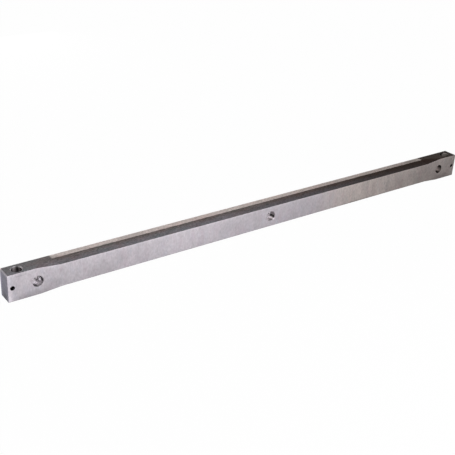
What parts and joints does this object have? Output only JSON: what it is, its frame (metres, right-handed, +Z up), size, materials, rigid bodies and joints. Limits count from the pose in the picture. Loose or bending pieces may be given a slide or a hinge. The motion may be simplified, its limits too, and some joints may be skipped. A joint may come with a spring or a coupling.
{
  "type": "shear blade",
  "caption": "Long straight steel shear bar with a raised cutting land, hollow reliefs, full-height end blocks, counterbored screw holes and upright bolt holes.",
  "frame": {"origin": "middle of the underside", "axes": "+X along the bar, -Y out of the counterbored front face, +Z up, from the underside to the top cutting land"},
  "size_m": [1.09, 0.03, 0.05],
  "materials": {
    "steel": "ground tool steel, darker on the top"
  },
  "bodies": {
    "root": {"shear_blade": "steel"}
  },
  "joints": []
}
